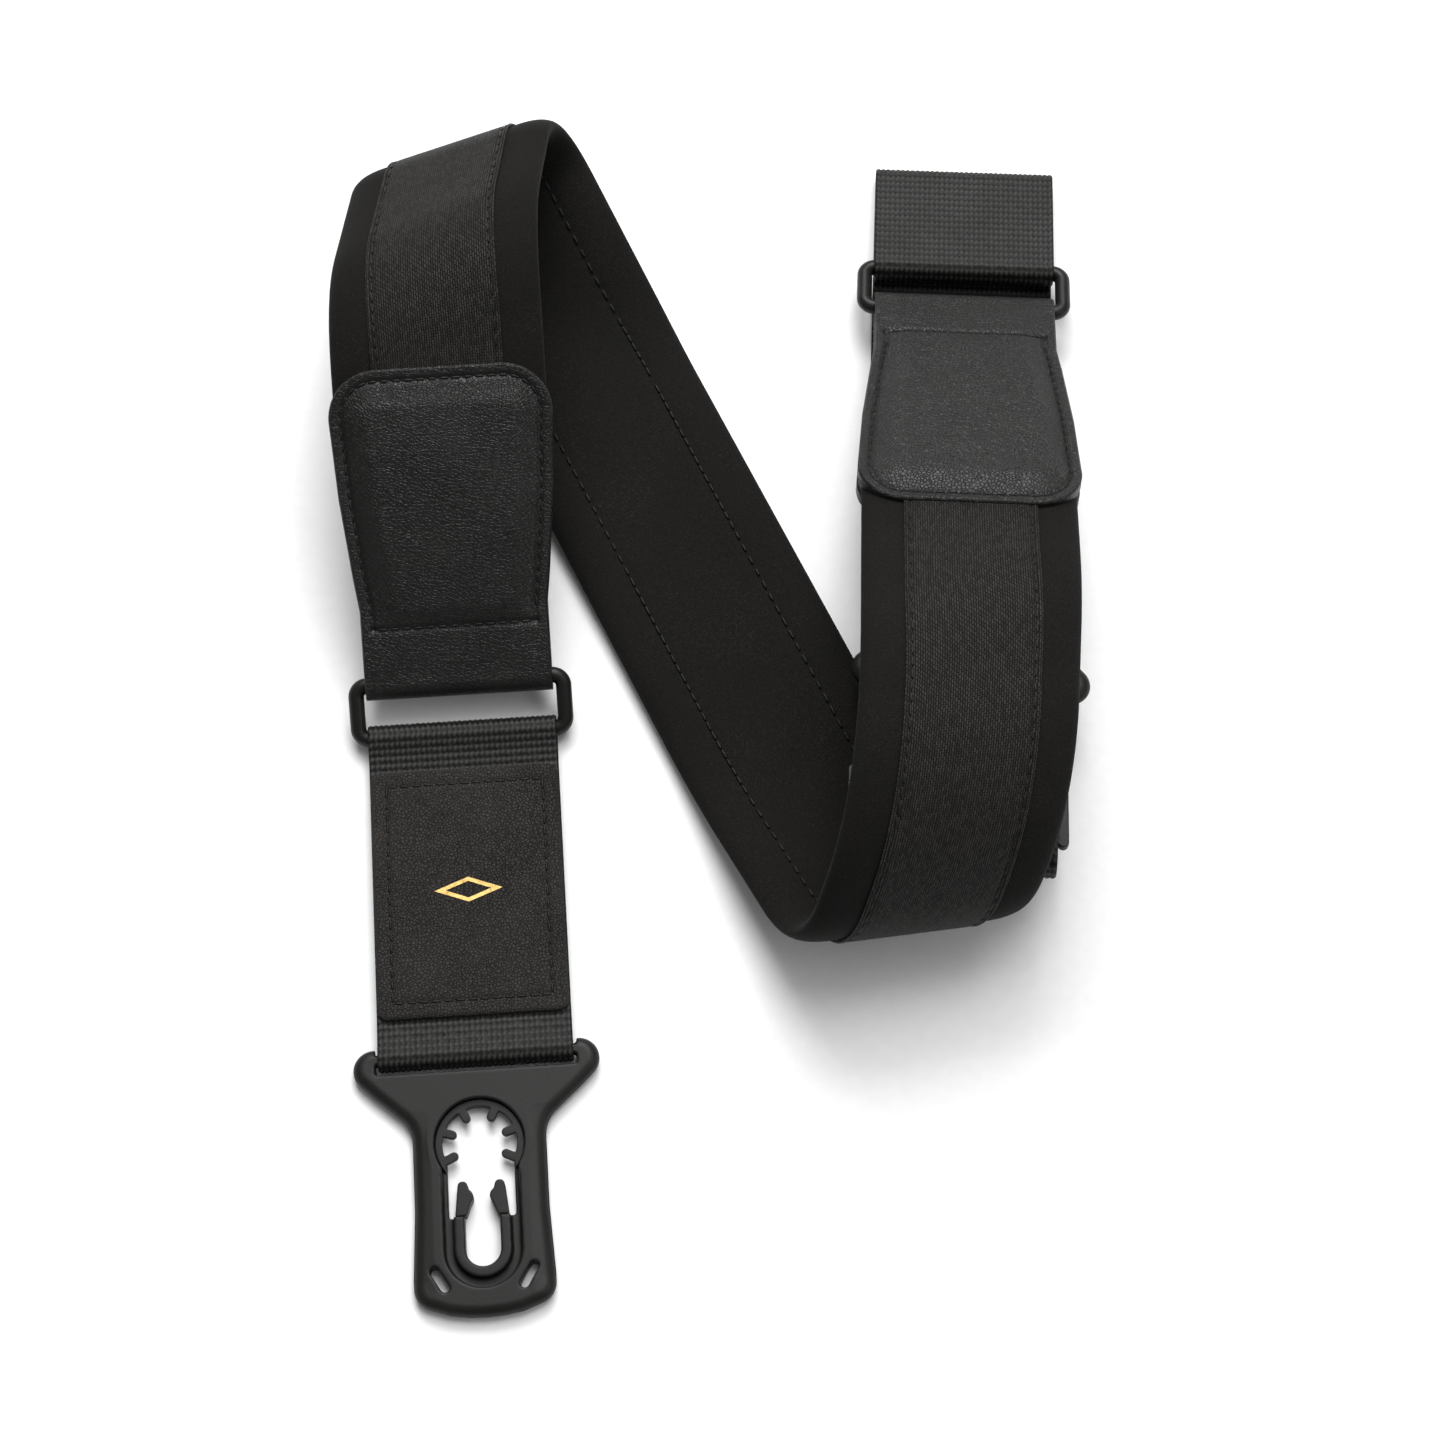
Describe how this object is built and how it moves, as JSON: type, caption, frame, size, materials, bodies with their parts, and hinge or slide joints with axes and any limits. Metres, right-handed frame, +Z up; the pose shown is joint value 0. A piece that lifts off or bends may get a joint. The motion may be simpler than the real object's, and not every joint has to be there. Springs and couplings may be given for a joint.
{
  "type": "guitar strap",
  "caption": "Padded instrument strap folded in an N, with leather ends, rings, webbing, slider and locking end blocks.",
  "frame": {"origin": "centre of the folded strap's footprint, on the ground it lies on", "axes": "+Z up from the ground; +Y along the two legs, from the front lock towards the front roll; +X from the front leg to the rear leg"},
  "size_m": [0.2036, 0.3293, 0.0687],
  "materials": {
    "neoprene": "fine jersey-faced neoprene, matt",
    "woven_strip": "close flat weave, slight sheen",
    "leather": "smooth grain, satin",
    "foam": "closed-cell foam",
    "webbing": "coarse woven polypropylene, satin",
    "ring_plastic": "moulded, satin",
    "lock_plastic": "moulded nylon, fine grain",
    "thread": "bonded sewing thread",
    "foil": "pressed foil"
  },
  "bodies": {
    "middle": {"pad_middle": "neoprene", "strip_middle": "woven_strip"},
    "front_leg": {"pad_front": "neoprene", "strip_front": "woven_strip", "front_leather_cover": "leather", "front_leather_back": "leather", "front_leather_filler": "foam"},
    "front_ring": {"front_ring": "ring_plastic"},
    "front_tab": {"front_webbing_tab": "webbing", "front_patch": "leather", "front_patch_ornament": "foil"},
    "front_lock": {"front_lock_plate": "lock_plastic", "front_lock_teeth": "lock_plastic"},
    "front_prong_left": {"front_prong_left": "lock_plastic"},
    "front_prong_right": {"front_prong_right": "lock_plastic"},
    "rear_leg": {"pad_rear": "neoprene", "strip_rear": "woven_strip", "rear_leather_cover": "leather", "rear_leather_back": "leather", "rear_leather_filler": "foam", "rear_ring": "ring_plastic", "rear_webbing_run": "webbing", "rear_webbing_anchor": "webbing", "rear_webbing_tail": "webbing", "slider_frame": "ring_plastic"},
    "rear_lock": {"rear_lock_plate": "lock_plastic", "rear_lock_teeth": "lock_plastic"},
    "rear_prong_left": {"rear_prong_left": "lock_plastic"},
    "rear_prong_right": {"rear_prong_right": "lock_plastic"}
  },
  "joints": [
    {"name": "front_fold", "type": "hinge", "parent": "middle", "child": "front_leg", "pos_m": [-0.06861, 0.15738, 0.02671], "axis": [-0.9501, -0.229, -0.212], "range_deg": [0, 60]},
    {"name": "front_ring_swing", "type": "hinge", "parent": "front_leg", "child": "front_ring", "pos_m": [-0.06705, 0.00457, 0.0105], "axis": [-0.9978, -0.066, 0.0001], "range_deg": [0, 55]},
    {"name": "front_tab_swing", "type": "hinge", "parent": "front_ring", "child": "front_tab", "pos_m": [-0.0662, -0.00831, 0.0039], "axis": [-0.9978, -0.066, 0.0001], "range_deg": [0, 60]},
    {"name": "front_lock_tilt", "type": "hinge", "parent": "front_tab", "child": "front_lock", "pos_m": [-0.06032, -0.09712, 0.0039], "axis": [-0.9978, -0.066, 0.0001], "range_deg": [0, 60]},
    {"name": "front_prong_left_flex", "type": "hinge", "parent": "front_lock", "child": "front_prong_left", "pos_m": [-0.06444, -0.13948, 0.0027], "axis": [0, 0, 1], "range_deg": [0, 12], "stiffness_Nm_per_rad": 0.2},
    {"name": "front_prong_right_flex", "type": "hinge", "parent": "front_lock", "child": "front_prong_right", "pos_m": [-0.05067, -0.13857, 0.0027], "axis": [0, 0, -1], "range_deg": [0, 12], "stiffness_Nm_per_rad": 0.2},
    {"name": "rear_fold", "type": "hinge", "parent": "middle", "child": "rear_leg", "pos_m": [0.05092, -0.06995, 0.02205], "axis": [0.9799, 0.1619, -0.117], "range_deg": [0, 60]},
    {"name": "rear_lock_tilt", "type": "hinge", "parent": "rear_leg", "child": "rear_lock", "pos_m": [0.06973, 0.00143, 0.01728], "axis": [0.9952, -0.0976, 0], "range_deg": [0, 8]},
    {"name": "rear_prong_left_flex", "type": "hinge", "parent": "rear_lock", "child": "rear_prong_left", "pos_m": [0.08066, 0.04215, 0.01133], "axis": [0.0111, 0.1127, 0.9936], "range_deg": [0, 12], "stiffness_Nm_per_rad": 0.2},
    {"name": "rear_prong_right_flex", "type": "hinge", "parent": "rear_lock", "child": "rear_prong_right", "pos_m": [0.06693, 0.0435, 0.01133], "axis": [-0.0111, -0.1127, -0.9936], "range_deg": [0, 12], "stiffness_Nm_per_rad": 0.2}
  ]
}
